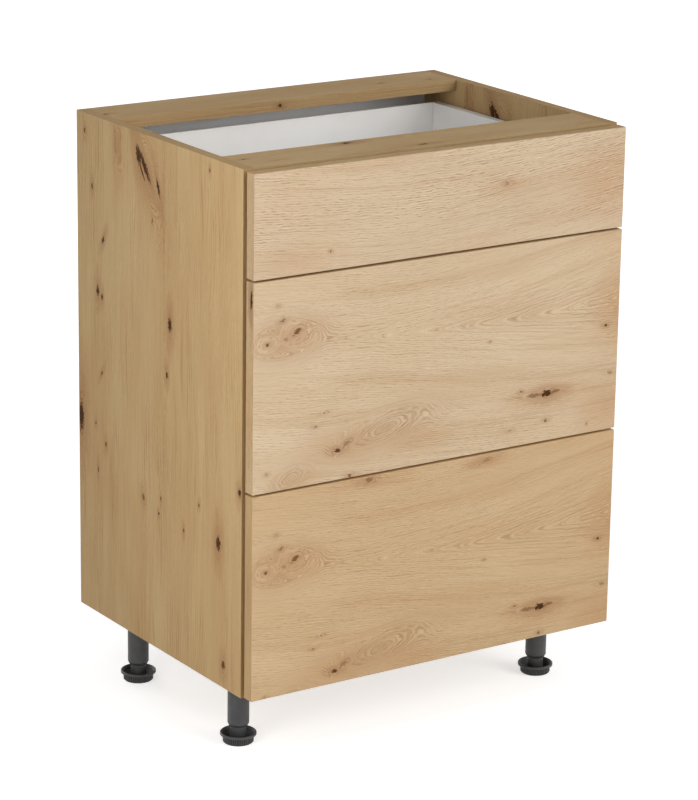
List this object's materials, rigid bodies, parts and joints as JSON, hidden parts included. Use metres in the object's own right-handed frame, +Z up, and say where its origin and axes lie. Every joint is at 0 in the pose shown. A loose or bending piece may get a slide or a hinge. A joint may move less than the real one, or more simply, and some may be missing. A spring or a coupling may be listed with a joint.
{
  "type": "kitchen base cabinet with drawers",
  "caption": "Free-standing kitchen base cabinet in knotty oak laminate with handleless drawer fronts, steel drawer boxes on roller runners, an open top for a worktop and adjustable legs.",
  "frame": {"origin": "on the floor under the middle of the cabinet's bounding box, drawers closed", "axes": "+X to the cabinet's right seen from the front, -Y out of the drawer fronts, +Z up"},
  "size_m": [0.6, 0.463, 0.82],
  "materials": {
    "oak_board": "matt knotty-oak laminate on chipboard",
    "oak_front": "matt knotty-oak laminate on chipboard",
    "grey_fibreboard": "painted hardboard",
    "white_board": "white melamine on chipboard",
    "white_steel": "white powder coat",
    "plated_steel": "zinc plated",
    "cast_zinc": "as cast",
    "dowel_wood": "bare beech",
    "roller_plastic": "moulded nylon",
    "leg_plastic": "moulded black plastic"
  },
  "bodies": {
    "cabinet": {"left_side_panel": "oak_board", "right_side_panel": "oak_board", "bottom_panel": "oak_board", "front_top_rail": "oak_board", "rear_top_rail": "oak_board", "back_panel": "grey_fibreboard", "back_panel_nails": "plated_steel", "cam_locks": "cast_zinc", "cam_bolts": "plated_steel", "wooden_dowels": "dowel_wood", "leg_screws": "plated_steel", "runner_screws": "plated_steel", "top_drawer_left_runner": "white_steel", "top_drawer_right_runner": "white_steel", "middle_drawer_left_runner": "white_steel", "middle_drawer_right_runner": "white_steel", "bottom_drawer_left_runner": "white_steel", "bottom_drawer_right_runner": "white_steel", "front_left_leg": "leg_plastic", "front_right_leg": "leg_plastic", "rear_left_leg": "leg_plastic", "rear_right_leg": "leg_plastic"},
    "top_drawer": {"top_drawer_front": "oak_front", "top_drawer_left_side": "white_steel", "top_drawer_right_side": "white_steel", "top_drawer_back": "white_steel", "top_drawer_floor": "white_board", "top_drawer_front_brackets": "white_steel", "top_drawer_screws": "plated_steel"},
    "middle_drawer": {"middle_drawer_front": "oak_front", "middle_drawer_left_side": "white_steel", "middle_drawer_right_side": "white_steel", "middle_drawer_back": "white_steel", "middle_drawer_floor": "white_board", "middle_drawer_front_brackets": "white_steel", "middle_drawer_screws": "plated_steel"},
    "bottom_drawer": {"bottom_drawer_front": "oak_front", "bottom_drawer_left_side": "white_steel", "bottom_drawer_right_side": "white_steel", "bottom_drawer_back": "white_steel", "bottom_drawer_floor": "white_board", "bottom_drawer_front_brackets": "white_steel", "bottom_drawer_screws": "plated_steel"},
    "top_drawer_front_left_roller": {"top_drawer_front_left_roller": "roller_plastic"},
    "top_drawer_front_right_roller": {"top_drawer_front_right_roller": "roller_plastic"},
    "top_drawer_rear_left_roller": {"top_drawer_rear_left_roller": "roller_plastic"},
    "top_drawer_rear_right_roller": {"top_drawer_rear_right_roller": "roller_plastic"},
    "middle_drawer_front_left_roller": {"middle_drawer_front_left_roller": "roller_plastic"},
    "middle_drawer_front_right_roller": {"middle_drawer_front_right_roller": "roller_plastic"},
    "middle_drawer_rear_left_roller": {"middle_drawer_rear_left_roller": "roller_plastic"},
    "middle_drawer_rear_right_roller": {"middle_drawer_rear_right_roller": "roller_plastic"},
    "bottom_drawer_front_left_roller": {"bottom_drawer_front_left_roller": "roller_plastic"},
    "bottom_drawer_front_right_roller": {"bottom_drawer_front_right_roller": "roller_plastic"},
    "bottom_drawer_rear_left_roller": {"bottom_drawer_rear_left_roller": "roller_plastic"},
    "bottom_drawer_rear_right_roller": {"bottom_drawer_rear_right_roller": "roller_plastic"},
    "front_left_foot": {"front_left_foot": "leg_plastic"},
    "front_right_foot": {"front_right_foot": "leg_plastic"},
    "rear_left_foot": {"rear_left_foot": "leg_plastic"},
    "rear_right_foot": {"rear_right_foot": "leg_plastic"}
  },
  "joints": [
    {"name": "top_drawer_slide", "type": "slide", "parent": "cabinet", "child": "top_drawer", "axis": [0, -1, 0], "range_m": [0, 0.3]},
    {"name": "middle_drawer_slide", "type": "slide", "parent": "cabinet", "child": "middle_drawer", "axis": [0, -1, 0], "range_m": [0, 0.3]},
    {"name": "bottom_drawer_slide", "type": "slide", "parent": "cabinet", "child": "bottom_drawer", "axis": [0, -1, 0], "range_m": [0, 0.3]},
    {"name": "top_drawer_front_left_roller_spin", "type": "hinge", "parent": "cabinet", "child": "top_drawer_front_left_roller", "pos_m": [-0.2727, -0.1945, 0.7069], "axis": [1, 0, 0], "range_deg": [0, 2456]},
    {"name": "top_drawer_front_right_roller_spin", "type": "hinge", "parent": "cabinet", "child": "top_drawer_front_right_roller", "pos_m": [0.2727, -0.1945, 0.7069], "axis": [1, 0, 0], "range_deg": [0, 2456]},
    {"name": "top_drawer_rear_left_roller_spin", "type": "hinge", "parent": "top_drawer", "child": "top_drawer_rear_left_roller", "pos_m": [-0.2798, 0.1745, 0.7069], "axis": [1, 0, 0], "range_deg": [0, 2456]},
    {"name": "top_drawer_rear_right_roller_spin", "type": "hinge", "parent": "top_drawer", "child": "top_drawer_rear_right_roller", "pos_m": [0.2798, 0.1745, 0.7069], "axis": [1, 0, 0], "range_deg": [0, 2456]},
    {"name": "middle_drawer_front_left_roller_spin", "type": "hinge", "parent": "cabinet", "child": "middle_drawer_front_left_roller", "pos_m": [-0.2727, -0.1945, 0.4189], "axis": [1, 0, 0], "range_deg": [0, 2456]},
    {"name": "middle_drawer_front_right_roller_spin", "type": "hinge", "parent": "cabinet", "child": "middle_drawer_front_right_roller", "pos_m": [0.2727, -0.1945, 0.4189], "axis": [1, 0, 0], "range_deg": [0, 2456]},
    {"name": "middle_drawer_rear_left_roller_spin", "type": "hinge", "parent": "middle_drawer", "child": "middle_drawer_rear_left_roller", "pos_m": [-0.2798, 0.1745, 0.4189], "axis": [1, 0, 0], "range_deg": [0, 2456]},
    {"name": "middle_drawer_rear_right_roller_spin", "type": "hinge", "parent": "middle_drawer", "child": "middle_drawer_rear_right_roller", "pos_m": [0.2798, 0.1745, 0.4189], "axis": [1, 0, 0], "range_deg": [0, 2456]},
    {"name": "bottom_drawer_front_left_roller_spin", "type": "hinge", "parent": "cabinet", "child": "bottom_drawer_front_left_roller", "pos_m": [-0.2727, -0.1945, 0.1309], "axis": [1, 0, 0], "range_deg": [0, 2456]},
    {"name": "bottom_drawer_front_right_roller_spin", "type": "hinge", "parent": "cabinet", "child": "bottom_drawer_front_right_roller", "pos_m": [0.2727, -0.1945, 0.1309], "axis": [1, 0, 0], "range_deg": [0, 2456]},
    {"name": "bottom_drawer_rear_left_roller_spin", "type": "hinge", "parent": "bottom_drawer", "child": "bottom_drawer_rear_left_roller", "pos_m": [-0.2798, 0.1745, 0.1309], "axis": [1, 0, 0], "range_deg": [0, 2456]},
    {"name": "bottom_drawer_rear_right_roller_spin", "type": "hinge", "parent": "bottom_drawer", "child": "bottom_drawer_rear_right_roller", "pos_m": [0.2798, 0.1745, 0.1309], "axis": [1, 0, 0], "range_deg": [0, 2456]},
    {"name": "front_left_foot_height", "type": "slide", "parent": "cabinet", "child": "front_left_foot", "axis": [0, 0, 1], "range_m": [-0.02, 0.02]},
    {"name": "front_right_foot_height", "type": "slide", "parent": "cabinet", "child": "front_right_foot", "axis": [0, 0, 1], "range_m": [-0.02, 0.02]},
    {"name": "rear_left_foot_height", "type": "slide", "parent": "cabinet", "child": "rear_left_foot", "axis": [0, 0, 1], "range_m": [-0.02, 0.02]},
    {"name": "rear_right_foot_height", "type": "slide", "parent": "cabinet", "child": "rear_right_foot", "axis": [0, 0, 1], "range_m": [-0.02, 0.02]}
  ],
  "couplings": [
    {"joint": "top_drawer_front_left_roller_spin", "follows": "top_drawer_slide", "rad_per_m": 142.86},
    {"joint": "top_drawer_front_right_roller_spin", "follows": "top_drawer_slide", "rad_per_m": 142.86},
    {"joint": "top_drawer_rear_left_roller_spin", "follows": "top_drawer_slide", "rad_per_m": 142.86},
    {"joint": "top_drawer_rear_right_roller_spin", "follows": "top_drawer_slide", "rad_per_m": 142.86},
    {"joint": "middle_drawer_front_left_roller_spin", "follows": "middle_drawer_slide", "rad_per_m": 142.86},
    {"joint": "middle_drawer_front_right_roller_spin", "follows": "middle_drawer_slide", "rad_per_m": 142.86},
    {"joint": "middle_drawer_rear_left_roller_spin", "follows": "middle_drawer_slide", "rad_per_m": 142.86},
    {"joint": "middle_drawer_rear_right_roller_spin", "follows": "middle_drawer_slide", "rad_per_m": 142.86},
    {"joint": "bottom_drawer_front_left_roller_spin", "follows": "bottom_drawer_slide", "rad_per_m": 142.86},
    {"joint": "bottom_drawer_front_right_roller_spin", "follows": "bottom_drawer_slide", "rad_per_m": 142.86},
    {"joint": "bottom_drawer_rear_left_roller_spin", "follows": "bottom_drawer_slide", "rad_per_m": 142.86},
    {"joint": "bottom_drawer_rear_right_roller_spin", "follows": "bottom_drawer_slide", "rad_per_m": 142.86}
  ]
}
